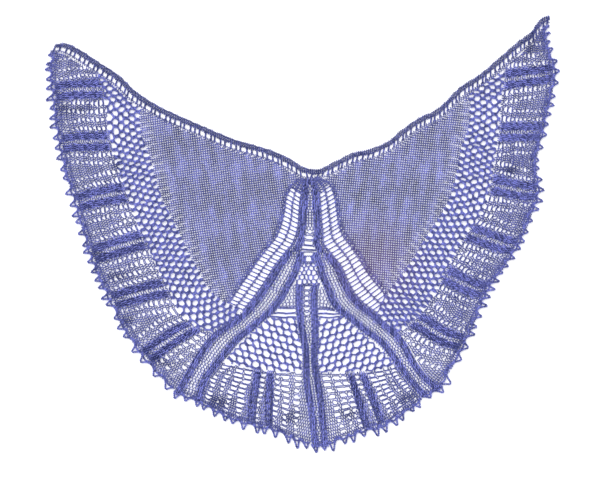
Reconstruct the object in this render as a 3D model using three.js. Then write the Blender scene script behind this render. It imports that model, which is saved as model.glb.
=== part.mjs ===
// A hand-knitted triangle shawl laid flat on its face, seen from above.
// Every worked section is a closed wall of its own, parted from its neighbours by a narrow seam gap.
// Lengths are millimetres. X runs to the right, Y runs away from the bottom hem and Z runs up.
import * as THREE from "three";

// Walls and relief
const SEAM_GAP = 0.3;
const PLAIN_KNIT = 1.6;
const LACE_KNIT = 1.8;
const GARTER_BAND = 2.6;
const RIB_RISE = 1.5;
const WING_RIPPLE = 0.5;
const RUFFLE_LIFT = 5;

// Layout
const MIDDLE_X = -14.35;
const MIDDLE_Y = -145.04;
const NECK_FOOT_Y = -24;
const BORDER_SECTIONS = 6;
const SECTION_ROWS = 4;
const TIP_ROWS = 2;
const CHORD_PARTS = 3;
const PICOT_VALLEY = 0.2;
const WING_COLUMNS = 8;
const WING_FOOT_SHARE = 0.88;
const NET_ACROSS = 4;
const BAND_LENGTHS = 3;
const EYELET_PITCH = 13;
const OPEN_EYELETS = { first: 14, last: 37 };
const LADDER_RUNGS = 24;
const FIRST_OPEN_RUNG = 3;
const NET_COLUMNS = 8;
const RIB_OFFSET = 2;
const FIRST_GAP_REACH = RIB_OFFSET + 1.5;
const DIAMOND_STEPS = 3;

// Drawing limits
const SEARCH_STEPS = 400;
const LEAST_MITER = 0.4;

const COLOURS = {
  plain: 0x8585b4,
  lace: 0x7476ab,
  rib: 0x5c6299,
  band: 0x6468a2,
};

// Outlines, measured from the low point of the neck edge and smoothed by a curve through the rows.
// Columns of every table: x, y.
const OUTLINES = {
  left: {
    topEdge: [
      [-554, 273], [-532, 273], [-504, 260], [-460, 231], [-416, 202], [-385, 172], [-350, 147],
      [-315, 128], [-240, 95], [-167, 64], [-86, 40], [-42, 20], [-13, 2], [2, -2],
    ],
    bandFoot: [
      [-572, 253], [-541, 251], [-491, 222], [-449, 196], [-398, 152], [-367, 132], [-326, 108],
      [-249, 73], [-176, 42], [-92, 18], [-51, -2], [-18, -20], [0, -24],
    ],
    hem: [
      [-576, 251], [-583, 211], [-579, 156], [-572, 103], [-563, 46], [-548, -18], [-528, -84],
      [-510, -143], [-495, -200], [-475, -249], [-451, -299], [-420, -359], [-376, -427], [-304, -506],
    ],
    meshFoot: [
      [-466, 207], [-460, 190], [-453, 174], [-444, 112], [-438, 59], [-422, 4], [-403, -53],
      [-383, -110], [-361, -158], [-339, -211], [-312, -264], [-284, -319], [-251, -348], [-213, -363],
    ],
    wingFoot: [
      [-367, 132], [-372, 119], [-367, 70], [-348, 18], [-330, -48], [-312, -92], [-290, -134],
      [-271, -174], [-246, -220], [-222, -264], [-194, -290], [-178, -297], [-145, -315],
    ],
    ladderInner: [
      [-9, -24], [-15, -48], [-20, -81], [-22, -114], [-26, -141], [-37, -169], [-46, -180],
      [-55, -191], [-75, -216], [-92, -244], [-112, -273], [-130, -297], [-145, -315],
    ],
    ladderOuter: [
      [-18, -20], [-40, -40], [-51, -64], [-55, -92], [-62, -121], [-73, -150], [-90, -172],
      [-112, -200], [-132, -229], [-152, -257], [-165, -277], [-178, -297],
    ],
    diagonalOuter: [
      [-46, -180], [-55, -191], [-75, -216], [-92, -244], [-112, -273], [-130, -297], [-145, -315],
      [-169, -334], [-213, -363], [-238, -392], [-260, -427], [-282, -466], [-304, -506],
    ],
    diagonalInner: [
      [-11, -185], [-15, -211], [-26, -240], [-40, -264], [-51, -286], [-62, -301], [-75, -317],
      [-95, -334], [-128, -363], [-145, -376], [-191, -429], [-220, -466], [-240, -530],
    ],
    centreSide: [
      [-11, -185], [-15, -211], [-25, -238], [-29, -246], [-31, -270], [-31, -301], [-26, -345],
      [-20, -378], [-15, -411], [-15, -449], [-11, -488], [-2, -543], [4, -598], [9, -627],
    ],
    netFoot: [[-191, -429], [-130, -440], [-75, -447], [-15, -449]],
    bottomHem: [[-240, -530], [-180, -563], [-130, -581], [-73, -594], [-37, -612], [9, -627]],
    netTop: [[-87, -328], [-29, -330]],
    fanTop: [[-37, -259], [-31, -259]],
  },
  right: {
    topEdge: [
      [528, 337], [508, 326], [486, 297], [464, 282], [420, 244], [376, 207], [332, 178],
      [299, 145], [279, 128], [244, 112], [200, 81], [178, 62], [134, 42], [99, 35], [68, 20],
      [42, 7], [24, -2], [2, -2],
    ],
    bandFoot: [
      [528, 321], [517, 310], [497, 282], [477, 264], [431, 220], [387, 187], [350, 161],
      [312, 125], [290, 106], [255, 90], [213, 59], [189, 42], [143, 22], [108, 15], [77, 0],
      [42, -18], [18, -20], [0, -24],
    ],
    hem: [
      [528, 317], [534, 277], [556, 211], [539, 139], [528, 81], [508, 11], [519, -55],
      [497, -112], [473, -176], [438, -224], [407, -271], [383, -326], [361, -385], [306, -488],
    ],
    meshFoot: [
      [431, 220], [430, 207], [429, 194], [422, 136], [418, 79], [409, 22], [400, -37],
      [383, -95], [350, -141], [323, -185], [297, -235], [271, -286], [231, -334], [196, -361],
    ],
    wingFoot: [
      [350, 161], [354, 136], [348, 81], [334, 44], [323, -18], [304, -75], [282, -114],
      [253, -158], [227, -200], [198, -242], [183, -262], [169, -279], [150, -321],
    ],
    ladderInner: [
      [9, -24], [20, -48], [24, -81], [26, -114], [29, -141], [31, -169], [40, -180],
      [51, -194], [70, -218], [84, -249], [101, -279], [125, -304], [150, -321],
    ],
    ladderOuter: [
      [18, -20], [46, -35], [57, -62], [62, -92], [66, -119], [75, -147], [90, -167],
      [110, -196], [125, -222], [141, -244], [156, -262], [169, -279],
    ],
    diagonalOuter: [
      [40, -180], [51, -194], [70, -218], [84, -249], [101, -279], [125, -304], [150, -321],
      [169, -339], [196, -361], [216, -387], [235, -422], [266, -462], [306, -488],
    ],
    diagonalInner: [
      [7, -185], [15, -216], [26, -249], [37, -277], [46, -299], [59, -315], [79, -330],
      [110, -356], [150, -385], [169, -407], [200, -449], [227, -484], [257, -517],
    ],
    centreSide: [
      [7, -185], [15, -216], [21, -238], [25, -248], [21, -272], [20, -301], [22, -345],
      [22, -378], [20, -418], [24, -449], [31, -488], [37, -537], [42, -587], [46, -625],
    ],
    netFoot: [[191, -436], [152, -444], [90, -449], [24, -449]],
    bottomHem: [[257, -517], [200, -563], [165, -585], [117, -598], [73, -616], [46, -625]],
    netTop: [[77, -328], [21, -330]],
    fanTop: [[32, -263], [22, -263]],
  },
};

// Steps across or along a piece, as shares of its width or length.
const CENTRE_ACROSS = [0, 0.18, 0.36, 0.64, 0.82, 1];
const RIB_PAIR_ACROSS = [0, 0.15, 0.3, 0.7, 0.85, 1];
const BORDER_ACROSS = [0, 0.14, 0.45, 0.86, 1];
const BOTTOM_ACROSS = [0, 0.2, 0.42, 0.64, 0.86, 1];
const BAND_ACROSS = [0, 0.58, 1];
const FAN_ALONG = [0, 0.25, 0.45, 0.62, 0.76, 0.88, 1];
const FAN_ACROSS = [0, 0.14, 0.86, 1];
const NET_ALONG = [0, 0.2, 0.36, 0.52, 0.68, 0.84, 1];

// Gaps, as the share of a cell that is open along and across the piece.
const RUNG_GAP = { along: 0.56, across: 0.72 };
const NET_GAP = { along: 0.7, across: 0.72 };
const FAN_GAP = { along: 0.62, across: 0.8 };
const EYELET = { along: 0.72, across: 0.74 };
const SPINE_GAP = { along: 0.5, across: 0.7 };

function equalSteps(count) {
  return Array.from({ length: count + 1 }, (_, index) => index / count);
}

function toPoint([x, y]) {
  return new THREE.Vector3(x, y, 0);
}

function curveThrough(rows) {
  return new THREE.CatmullRomCurve3(rows.map(toPoint), false, "centripetal");
}

// The share of a curve's length at which it passes nearest to a point.
function shareNear(curve, goal) {
  const shares = equalSteps(SEARCH_STEPS);
  const distances = shares.map((share) => curve.getPointAt(share).distanceTo(goal));
  return shares[distances.indexOf(Math.min(...distances))];
}

// Points of a curve between two places on it, at the given shares of that stretch.
function pointsBetween(curve, start, end, shares) {
  const from = shareNear(curve, start);
  const to = shareNear(curve, end);
  return shares.map((share, index) => {
    if (index === 0) return start;
    if (index === shares.length - 1) return end;
    return curve.getPointAt(THREE.MathUtils.lerp(from, to, share));
  });
}

function pointsOnLine(start, end, shares) {
  return shares.map((share) => start.clone().lerp(end, share));
}

// The same line of chords with every chord cut into equal parts, none longer than a limit.
function splitChords(points, longest) {
  const parts = points.slice(1).flatMap((point, index) => {
    const count = Math.ceil(point.distanceTo(points[index]) / longest);
    return equalSteps(count).slice(1).map((share) => points[index].clone().lerp(point, share));
  });
  return [points[0], ...parts];
}

function splitEachChord(points, count) {
  const parts = points.slice(1).flatMap((point, index) =>
    equalSteps(count).slice(1).map((share) => points[index].clone().lerp(point, share)),
  );
  return [points[0], ...parts];
}

// Joins rows of points that meet end to end.
function joined(...rows) {
  return rows.flatMap((row, index) => (index === 0 ? row : row.slice(1)));
}

function reversed(points) {
  return [...points].reverse();
}

// A grid of points between two rails, with its first and last rows bent onto given rows.
function gridBetween({ near, far, across, first, last }) {
  const end = near.length - 1;
  const straight = (i, share) => near[i].clone().lerp(far[i], share);
  const bend = (row, i, j) => (row ? row[j].clone().sub(straight(i, across[j])) : toPoint([0, 0]));
  return near.map((_, i) =>
    across.map((share, j) => {
      const point = straight(i, share);
      point.addScaledVector(bend(first, 0, j), (1 - i / end) ** 2);
      point.addScaledVector(bend(last, end, j), (i / end) ** 2);
      return point;
    }),
  );
}

// Pulls every second point of the hem back towards the valley between two picots.
function withPicots(plan) {
  const tip = plan[0].length - 1;
  plan.forEach((row, i) => {
    if (i % 2 === 0) row[tip] = row[tip - 1].clone().lerp(row[tip], PICOT_VALLEY);
  });
  return plan;
}

// Moves the outer ring of a plan grid inwards by half the seam gap.
function partFromNeighbours(plan) {
  const rows = plan.length - 1;
  const columns = plan[0].length - 1;
  const ring = [];
  for (let i = 0; i < rows; i += 1) ring.push(plan[i][0]);
  for (let j = 0; j < columns; j += 1) ring.push(plan[rows][j]);
  for (let i = rows; i > 0; i -= 1) ring.push(plan[i][columns]);
  for (let j = columns; j > 0; j -= 1) ring.push(plan[0][j]);
  const winding = Math.sign(THREE.ShapeUtils.area(ring));
  const moved = ring.map((point, index) => {
    const before = ring[(index + ring.length - 1) % ring.length];
    const after = ring[(index + 1) % ring.length];
    const arriving = point.clone().sub(before).normalize();
    const leaving = after.clone().sub(point).normalize();
    const inward = new THREE.Vector3(-arriving.y - leaving.y, arriving.x + leaving.x, 0).normalize();
    const miter = Math.max(LEAST_MITER, inward.x * -arriving.y + inward.y * arriving.x);
    return point.clone().addScaledVector(inward, (winding * SEAM_GAP) / 2 / miter);
  });
  ring.forEach((point, index) => point.copy(moved[index]));
  return winding;
}

// Two triangles for each four corners that are given in turn.
function addQuad(triangles, a, b, c, d) {
  triangles.push([a, b, c], [a, c, d]);
}

// The four corners of a gap inside a cell, in turn against the clock.
function gapCorners(gap) {
  const alongMargin = (1 - gap.along) / 2;
  const acrossMargin = (1 - gap.across) / 2;
  return [
    new THREE.Vector2(alongMargin, acrossMargin),
    new THREE.Vector2(1 - alongMargin, acrossMargin),
    new THREE.Vector2(1 - alongMargin, 1 - acrossMargin),
    new THREE.Vector2(alongMargin, 1 - acrossMargin),
  ];
}

// A closed wall over a grid of cells. Each cell is plain or has a gap cut through it.
function wall({ name, colour, plan: drawn, under = () => 0, thickness, gapAt = () => null }) {
  const plan = drawn.map((row) => row.map((point) => point.clone()));
  const winding = partFromNeighbours(plan);
  const positions = [];
  const triangles = [];
  const addPair = (x, y, low, high) => {
    positions.push(x - MIDDLE_X, y - MIDDLE_Y, low, x - MIDDLE_X, y - MIDDLE_Y, high);
    return positions.length / 3 - 2;
  };
  const corners = plan.map((row, i) =>
    row.map((point, j) => {
      const low = under(i, j);
      return addPair(point.x, point.y, low, low + thickness(i, j));
    }),
  );
  const addSide = (from, to) => addQuad(triangles, from, to, to + 1, from + 1);
  const blend = (cell, axis, level, spot) => {
    const values = cell.map((corner) => positions[3 * (corner + level) + axis]);
    const near = THREE.MathUtils.lerp(values[0], values[1], spot.x);
    const far = THREE.MathUtils.lerp(values[3], values[2], spot.x);
    return THREE.MathUtils.lerp(near, far, spot.y);
  };
  const addPiercedCell = (cell, gap) => {
    const outline = [[0, 0], [1, 0], [1, 1], [0, 1]].map(([x, y]) => new THREE.Vector2(x, y));
    const spots = gapCorners(gap);
    const hole = spots.map((spot) =>
      addPair(
        blend(cell, 0, 0, spot) + MIDDLE_X,
        blend(cell, 1, 0, spot) + MIDDLE_Y,
        blend(cell, 2, 0, spot),
        blend(cell, 2, 1, spot),
      ),
    );
    const all = [...cell, ...hole];
    const flat = [...outline, ...spots];
    THREE.ShapeUtils.triangulateShape(outline, [spots]).forEach((face) => {
      const counter = THREE.ShapeUtils.area(face.map((index) => flat[index])) > 0;
      const [a, b, c] = (counter ? face : [...face].reverse()).map((index) => all[index]);
      triangles.push([a + 1, b + 1, c + 1], [a, c, b]);
    });
    hole.forEach((from, index) => addSide(hole[(index + 1) % hole.length], from));
  };
  const rows = plan.length - 1;
  const columns = plan[0].length - 1;
  for (let i = 0; i < rows; i += 1) {
    for (let j = 0; j < columns; j += 1) {
      const cell = [corners[i][j], corners[i + 1][j], corners[i + 1][j + 1], corners[i][j + 1]];
      const gap = gapAt(i, j);
      if (gap) {
        addPiercedCell(cell, gap);
      } else {
        const [a, b, c, d] = cell;
        addQuad(triangles, a + 1, b + 1, c + 1, d + 1);
        addQuad(triangles, a, d, c, b);
      }
    }
  }
  for (let i = 0; i < rows; i += 1) {
    addSide(corners[i][0], corners[i + 1][0]);
    addSide(corners[i + 1][columns], corners[i][columns]);
  }
  for (let j = 0; j < columns; j += 1) {
    addSide(corners[rows][j], corners[rows][j + 1]);
    addSide(corners[0][j + 1], corners[0][j]);
  }
  const outward = triangles.map(([a, b, c]) => (winding > 0 ? [a, b, c] : [a, c, b]));
  const geometry = new THREE.BufferGeometry();
  geometry.setAttribute("position", new THREE.Float32BufferAttribute(positions, 3));
  geometry.setIndex(outward.flat());
  geometry.computeVertexNormals();
  const material = new THREE.MeshStandardMaterial({ color: colour, roughness: 0.9, metalness: 0 });
  const mesh = new THREE.Mesh(geometry, material);
  mesh.name = name;
  return mesh;
}

// Rows of points along every seam of one half. Neighbours take the same rows, so that they match.
function seamsOf(tables) {
  const curves = {};
  const knots = {};
  Object.entries(tables).forEach(([name, rows]) => {
    curves[name] = curveThrough(rows);
    knots[name] = rows.map(toPoint);
  });
  const { wingFoot, meshFoot, hem, ladderInner, ladderOuter, netFoot, bottomHem } = knots;
  const { diagonalInner, diagonalOuter, centreSide, fanTop, netTop } = knots;
  const equal = equalSteps;
  const halfWay = LADDER_RUNGS / 2;
  const wingEnd = curves.wingFoot.getPointAt(WING_FOOT_SHARE);
  const ladderEnd = ladderOuter.at(-1);
  const spineFoot = curves.ladderInner.getPointAt(0.5);
  const ladderInside = pointsBetween(
    curves.ladderInner, ladderInner[0], ladderInner.at(-1), equal(LADDER_RUNGS),
  );
  const split = centreSide[DIAMOND_STEPS];
  const diamondSide = pointsBetween(curves.centreSide, centreSide[0], split, equal(DIAMOND_STEPS));
  return {
    hem: equal(2 * (hem.length - 1)).map((share) => curves.hem.getPoint(share)),
    meshFoot: equal(2 * (meshFoot.length - 1)).map((share) => curves.meshFoot.getPoint(share)),
    borderTop: pointsBetween(curves.bandFoot, meshFoot[0], hem[0], BORDER_ACROSS),
    meshTop: pointsBetween(curves.bandFoot, wingFoot[0], meshFoot[0], equal(NET_ACROSS)),
    wingTop: pointsBetween(curves.bandFoot, wingFoot[0], ladderOuter[0], equal(WING_COLUMNS)),
    wingFoot: pointsBetween(curves.wingFoot, wingFoot[0], wingEnd, equal(LADDER_RUNGS)),
    wingEnd: pointsOnLine(wingEnd, ladderEnd, equal(WING_COLUMNS)),
    ladderTop: pointsOnLine(ladderInner[0], ladderOuter[0], equal(2)),
    ladderOutside: pointsBetween(curves.ladderOuter, ladderOuter[0], ladderEnd, equal(LADDER_RUNGS)),
    ladderEnd: pointsOnLine(ladderInner.at(-1), ladderEnd, equal(2)),
    spineSide: ladderInside.slice(0, halfWay + 1),
    spineFoot,
    ladderInside,
    diagonalTop: ladderInside.slice(halfWay),
    meshEnd: pointsBetween(
      curves.diagonalOuter, ladderInner.at(-1), meshFoot.at(-1), equal(NET_ACROSS),
    ),
    borderEnd: pointsBetween(curves.diagonalOuter, meshFoot.at(-1), hem.at(-1), BORDER_ACROSS),
    diamondSide,
    fanOutside: pointsBetween(curves.diagonalInner, fanTop[0], netTop[0], FAN_ALONG),
    fanInside: pointsBetween(curves.centreSide, fanTop[1], netTop[1], FAN_ALONG),
    netOutside: pointsBetween(curves.diagonalInner, netTop[0], netFoot[0], NET_ALONG),
    netInside: pointsBetween(curves.centreSide, netTop[1], netFoot.at(-1), NET_ALONG),
    netFoot: pointsBetween(curves.netFoot, netFoot[0], netFoot.at(-1), equal(NET_COLUMNS)),
    bottomOutside: pointsBetween(curves.diagonalInner, netFoot[0], bottomHem[0], BOTTOM_ACROSS),
    bottomInside: pointsBetween(
      curves.centreSide, netFoot.at(-1), bottomHem.at(-1), BOTTOM_ACROSS,
    ),
    bottomHem: pointsBetween(
      curves.bottomHem, bottomHem[0], bottomHem.at(-1), equal(2 * NET_COLUMNS),
    ),
    topEdge: curves.topEdge,
  };
}

// The garter band along the neck edge with its row of eyelets, in a few lengths.
function topBand(side, seams) {
  const foot = splitChords(
    joined(
      reversed(seams.borderTop), reversed(seams.meshTop), seams.wingTop,
      reversed(seams.ladderTop), [seams.ladderTop[0], toPoint([0, NECK_FOOT_Y])],
    ),
    EYELET_PITCH,
  );
  const steps = foot.length - 1;
  const distances = foot.map(() => 0);
  for (let i = 1; i <= steps; i += 1) distances[i] = distances[i - 1] + foot[i].distanceTo(foot[i - 1]);
  const edge = distances.map((distance) => seams.topEdge.getPointAt(distance / distances[steps]));
  const isOpen = (i) => i >= OPEN_EYELETS.first && i <= OPEN_EYELETS.last;
  const stepsEach = Math.ceil(steps / BAND_LENGTHS);
  return Array.from({ length: BAND_LENGTHS }, (_, part) => {
    const start = part * stepsEach;
    const end = Math.min(start + stepsEach, steps) + 1;
    return wall({
      name: `top_band_${side}_${part + 1}`,
      colour: COLOURS.band,
      plan: gridBetween({
        near: edge.slice(start, end), far: foot.slice(start, end), across: BAND_ACROSS,
      }),
      thickness: (i, j) => (j === 1 ? GARTER_BAND : PLAIN_KNIT),
      gapAt: (i, j) => (j === 1 && isOpen(start + i) ? EYELET : null),
    });
  });
}

// The plain knit wing between the neck band, the side net and the ladder beside the spine.
function wing(side, seams) {
  return wall({
    name: `wing_${side}`,
    colour: COLOURS.plain,
    plan: gridBetween({
      near: seams.wingFoot,
      far: seams.ladderOutside,
      across: equalSteps(WING_COLUMNS),
      first: seams.wingTop,
      last: seams.wingEnd,
    }),
    thickness: (i, j) => PLAIN_KNIT + (j % 2 === 1 ? WING_RIPPLE : 0),
  });
}

// The even net between the wing and the knitted border.
function sideNet(side, seams) {
  return wall({
    name: `side_net_${side}`,
    colour: COLOURS.lace,
    plan: gridBetween({
      near: joined(
        seams.wingFoot,
        [seams.wingEnd[0], seams.wingEnd.at(-1)],
        [seams.ladderEnd.at(-1), seams.ladderEnd[0]],
      ),
      far: seams.meshFoot,
      across: equalSteps(NET_ACROSS),
      first: seams.meshTop,
      last: seams.meshEnd,
    }),
    thickness: () => LACE_KNIT,
  });
}

// A border section: a pair of dense ribs with fans of lace on both sides and picots along the hem.
function borderSection(side, seams, section) {
  const isFirst = section === 0;
  const isLast = section === BORDER_SECTIONS - 1;
  const start = isFirst ? 0 : SECTION_ROWS * section + TIP_ROWS;
  const end = SECTION_ROWS * (section + 1) + TIP_ROWS;
  const near = splitEachChord(seams.meshFoot.slice(start, end + 1), CHORD_PARTS);
  const middle = near.length - 1 - TIP_ROWS * CHORD_PARTS;
  const swell = (i) => Math.sin((Math.PI * i) / (near.length - 1)) ** 2;
  const lastColumn = BORDER_ACROSS.length - 1;
  return wall({
    name: `border_${side}_${section + 1}`,
    colour: COLOURS.rib,
    plan: withPicots(
      gridBetween({
        near,
        far: splitEachChord(seams.hem.slice(start, end + 1), CHORD_PARTS),
        across: BORDER_ACROSS,
        first: isFirst ? seams.borderTop : null,
        last: isLast ? seams.borderEnd : null,
      }),
    ),
    under: (i, j) => RUFFLE_LIFT * swell(i) * BORDER_ACROSS[j] ** 2,
    thickness: (i, j) => {
      const isCrest = Math.abs(i - middle) === RIB_OFFSET && j < lastColumn;
      return LACE_KNIT + (isCrest ? RIB_RISE : 0);
    },
    gapAt: (i, j) => {
      const reach = Math.abs(i + 0.5 - middle);
      const besideRib = reach === FIRST_GAP_REACH && j === 1;
      const nearHem = reach === FIRST_GAP_REACH + 1 && j === 2;
      return besideRib || nearHem ? FAN_GAP : null;
    },
  });
}

// The double column of rungs that follows the spine and then the diagonal ribs.
function doubleLadder(side, seams) {
  return wall({
    name: `double_ladder_${side}`,
    colour: COLOURS.lace,
    plan: gridBetween({
      near: seams.ladderInside, far: seams.ladderOutside, across: equalSteps(2),
    }),
    thickness: () => LACE_KNIT,
    gapAt: (i) => (i >= FIRST_OPEN_RUNG ? RUNG_GAP : null),
  });
}

// A pair of dense ribs with fine rungs between them, from the foot of the spine to the hem.
function diagonalRibs(side, seams) {
  return wall({
    name: `diagonal_ribs_${side}`,
    colour: COLOURS.rib,
    plan: gridBetween({
      near: joined(seams.diagonalTop, seams.meshEnd, seams.borderEnd),
      far: joined(
        seams.diamondSide,
        [seams.diamondSide.at(-1), seams.fanOutside[0]],
        seams.fanOutside,
        seams.netOutside,
        seams.bottomOutside,
      ),
      across: RIB_PAIR_ACROSS,
    }),
    thickness: (i, j) => LACE_KNIT + (isRib(j) ? RIB_RISE : 0),
  });
}

// The widening rungs between a diagonal and the centre ribs.
function fan(side, seams) {
  const firstOpenRung = 2;
  return wall({
    name: `fan_${side}`,
    colour: COLOURS.lace,
    plan: gridBetween({ near: seams.fanOutside, far: seams.fanInside, across: FAN_ACROSS }),
    thickness: () => LACE_KNIT,
    gapAt: (i, j) => (j === 1 && i >= firstOpenRung ? FAN_GAP : null),
  });
}

// The open net below the fan. Its first row of cells is the dense patch, which stays whole.
function openNet(side, seams) {
  return wall({
    name: `open_net_${side}`,
    colour: COLOURS.lace,
    plan: gridBetween({
      near: seams.netOutside,
      far: seams.netInside,
      across: equalSteps(NET_COLUMNS),
      last: seams.netFoot,
    }),
    thickness: () => LACE_KNIT,
    gapAt: (i, j) => {
      const isCorner = i === 1 && (j === 0 || j === NET_COLUMNS - 1);
      return i === 0 || isCorner ? null : NET_GAP;
    },
  });
}

// The bottom border under an open net, with its own rib pair between ladders.
function bottomBorder(side, seams) {
  const steps = 2 * NET_COLUMNS;
  const middle = NET_COLUMNS;
  const openRows = 3;
  const lastColumn = BOTTOM_ACROSS.length - 1;
  return wall({
    name: `bottom_border_${side}`,
    colour: COLOURS.rib,
    plan: withPicots(
      gridBetween({
        near: splitEachChord(seams.netFoot, 2),
        far: seams.bottomHem,
        across: BOTTOM_ACROSS,
        first: seams.bottomOutside,
        last: seams.bottomInside,
      }),
    ),
    under: (i, j) => RUFFLE_LIFT * Math.sin((Math.PI * i) / steps) ** 2 * BOTTOM_ACROSS[j] ** 2,
    thickness: (i, j) => {
      const isCrest = Math.abs(i - middle) === RIB_OFFSET && j < lastColumn;
      return LACE_KNIT + (isCrest ? RIB_RISE : 0);
    },
    gapAt: (i, j) => {
      const reach = i + 0.5 - middle;
      const isLadder = Math.abs(reach) === FIRST_GAP_REACH || reach === -FIRST_GAP_REACH - 1;
      return isLadder && j < openRows ? FAN_GAP : null;
    },
  });
}

// A pair of ribs takes the second and the last but one of its six lines of points.
function isRib(line) {
  return line === 1 || line === 4;
}

// The two ribs of the spine, from the neck to where they swing out into the diagonals.
function spine(left, right) {
  const firstOpenRung = 8;
  const footHalf = (seams) => pointsOnLine(seams.spineFoot, seams.diamondSide[0], equalSteps(2));
  return wall({
    name: "spine",
    colour: COLOURS.rib,
    plan: gridBetween({
      near: left.spineSide,
      far: right.spineSide,
      across: CENTRE_ACROSS,
      last: [...footHalf(left), ...reversed(footHalf(right))],
    }),
    thickness: (i, j) => LACE_KNIT + (isRib(j) ? RIB_RISE : 0),
    gapAt: (i, j) => (j === 2 && i >= firstOpenRung ? SPINE_GAP : null),
  });
}

// The diamond under the spine and the centre rib pair below it, down to the hem.
function centreRibs(left, right) {
  const firstRibStep = 4;
  const openRungs = [1, 3];
  const sideOf = (seams) => joined(
    seams.diamondSide,
    [seams.diamondSide.at(-1), seams.fanInside[0]],
    seams.fanInside,
    seams.netInside,
    seams.bottomInside,
  );
  return wall({
    name: "centre_ribs",
    colour: COLOURS.rib,
    plan: gridBetween({ near: sideOf(left), far: sideOf(right), across: CENTRE_ACROSS }),
    thickness: (i, j) => LACE_KNIT + (isRib(j) && i >= firstRibStep ? RIB_RISE : 0),
    gapAt: (i, j) => (j === 2 && openRungs.includes(i) ? SPINE_GAP : null),
  });
}

function halfShawl(side, seams) {
  const sections = Array.from({ length: BORDER_SECTIONS }, (_, section) => section);
  return [
    ...topBand(side, seams),
    wing(side, seams),
    sideNet(side, seams),
    ...sections.map((section) => borderSection(side, seams, section)),
    doubleLadder(side, seams),
    diagonalRibs(side, seams),
    fan(side, seams),
    openNet(side, seams),
    bottomBorder(side, seams),
  ];
}

const left = seamsOf(OUTLINES.left);
const right = seamsOf(OUTLINES.right);
const shawl = new THREE.Group();
shawl.name = "triangle_shawl";
shawl.add(
  ...halfShawl("left", left),
  ...halfShawl("right", right),
  spine(left, right),
  centreRibs(left, right),
);

export default shawl;
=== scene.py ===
"""A hand-knitted triangle shawl laid flat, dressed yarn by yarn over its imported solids."""

import math

import bpy
import numpy as np
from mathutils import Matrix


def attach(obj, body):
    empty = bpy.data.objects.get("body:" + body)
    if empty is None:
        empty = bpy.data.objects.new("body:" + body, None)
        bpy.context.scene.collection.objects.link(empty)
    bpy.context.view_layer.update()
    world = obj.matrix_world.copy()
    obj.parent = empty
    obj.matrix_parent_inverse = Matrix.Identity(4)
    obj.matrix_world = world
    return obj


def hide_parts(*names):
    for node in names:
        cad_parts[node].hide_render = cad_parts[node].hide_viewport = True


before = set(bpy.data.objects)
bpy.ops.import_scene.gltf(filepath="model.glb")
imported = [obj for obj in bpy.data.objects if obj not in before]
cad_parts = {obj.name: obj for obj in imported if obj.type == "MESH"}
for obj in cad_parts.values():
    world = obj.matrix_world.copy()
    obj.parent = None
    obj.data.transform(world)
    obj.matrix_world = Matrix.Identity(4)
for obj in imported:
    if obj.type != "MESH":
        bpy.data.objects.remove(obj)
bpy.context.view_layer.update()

# Lengths are millimetres until a mesh is made. Places are measured from the low point of the neck edge,
# and then from the shawl's middle.
MM = 0.001
MIDDLE = np.array([-14.35, -145.04])

# Radii of the yarns
YARN = 1.22
WING_YARN = 1.085
RIB_YARN = 1.4
BACKING_YARN = 1.7
HEM_YARN = 1.5

# Stitches: pitch of the loops and of the courses, and how far a loop swings, dips, sways and opens
STITCH = 5.1
COURSE = 4.9
FULL_SWING = 3.0
LOOP_DEPTH = 0.7
LOOP_SWAY = 0.1
LOOP_OPEN = 0.18
# How much thicker the yarn is where a loop turns, and thinner where it crosses over
LOOP_HEAVY = 0.28
SPOTS_PER_LOOP = 6
WING_SPOTS_PER_LOOP = 7
# How far a loop of a long rib swings out, in shares of the way from course to course
LOOP_REACH = 0.6
# How much longer and how much thinner a loose stitch is, and the pitch of a yarn that floats as a rung
LOOSE_PITCH = 2.3
LOOSE_THIN = 0.28
FLOAT = 14

# Ropes: length of a turn, step between points, and how far the plies lie from the middle in radii
ROPE_TWIST = 9.0
ROPE_STEP = 2.2
ROPE_SPREAD = 0.85

# Ribs, ruffles, where a hem starts in shares of a border's depth, and the level of backing yarns
RIB_PITCH = 4.4
RIB_RISE = 1.8
RUFFLE_LIFT = 3.5
HEM_SHARE = 0.88
BACKING_LEVEL = 1.0

# Tones run from 0, the darkest yarn, to 1, the lightest.
WING_TONE = 0.57
LACE_TONE = 0.56
ROPE_TONE = 0.68
RIB_TONE = 0.7
# The backing yarns' low tone is painted shade, for wool that lies under the ribs
BACKING_SHADE_TONE = 0.28
BAND_TONE = 0.4

# Colours of tones 0, 0.5 and 1
WOOL_DARK = (0.032, 0.04, 0.135, 1)
WOOL_MIDDLE = (0.12, 0.136, 0.385, 1)
WOOL_LIGHT = (0.345, 0.37, 0.95, 1)
WOOL_SURFACE = {
    "Roughness": 0.9,
    "Specular IOR Level": 0.02,
    "Sheen Weight": 0.04,
    "Sheen Roughness": 0.5,
    "Sheen Tint": (0.45, 0.48, 1, 1),
}
# Uneven dye and fibres. Columns: scale of the noise, how much it shifts the tone.
HEATHER = [(45, 0.3), (260, 0.9), (1200, 0.5)]
FIBRE_SCALE = 2600
FIBRE_RELIEF = {"Strength": 0.35, "Distance": 0.0004}

# A faint mauve patch of the dye: colour, place in metres from the middle of the shawl, and how its share
# fades out with the distance
BLUSH_COLOUR = (0.26, 0.13, 0.33, 1)
BLUSH_PLACE = (0.16, -0.062)
BLUSH_FADE = {"From Min": 0.02, "From Max": 0.13, "To Min": 0.36, "To Max": 0}

SKY = {"Color": (1, 1, 1, 1), "Strength": 0.75}
FLOOR_PAINT = {
    "Base Color": (0.93, 0.93, 0.935, 1),
    "Roughness": 1,
    "Emission Color": (0.97, 0.975, 1, 1),
    "Emission Strength": 0.3,
}

# Camera
VIEW_WIDTH = 1.32
VIEW_CENTRE = (-0.00545, -0.01006)
CAMERA_HEIGHT = 6

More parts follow.
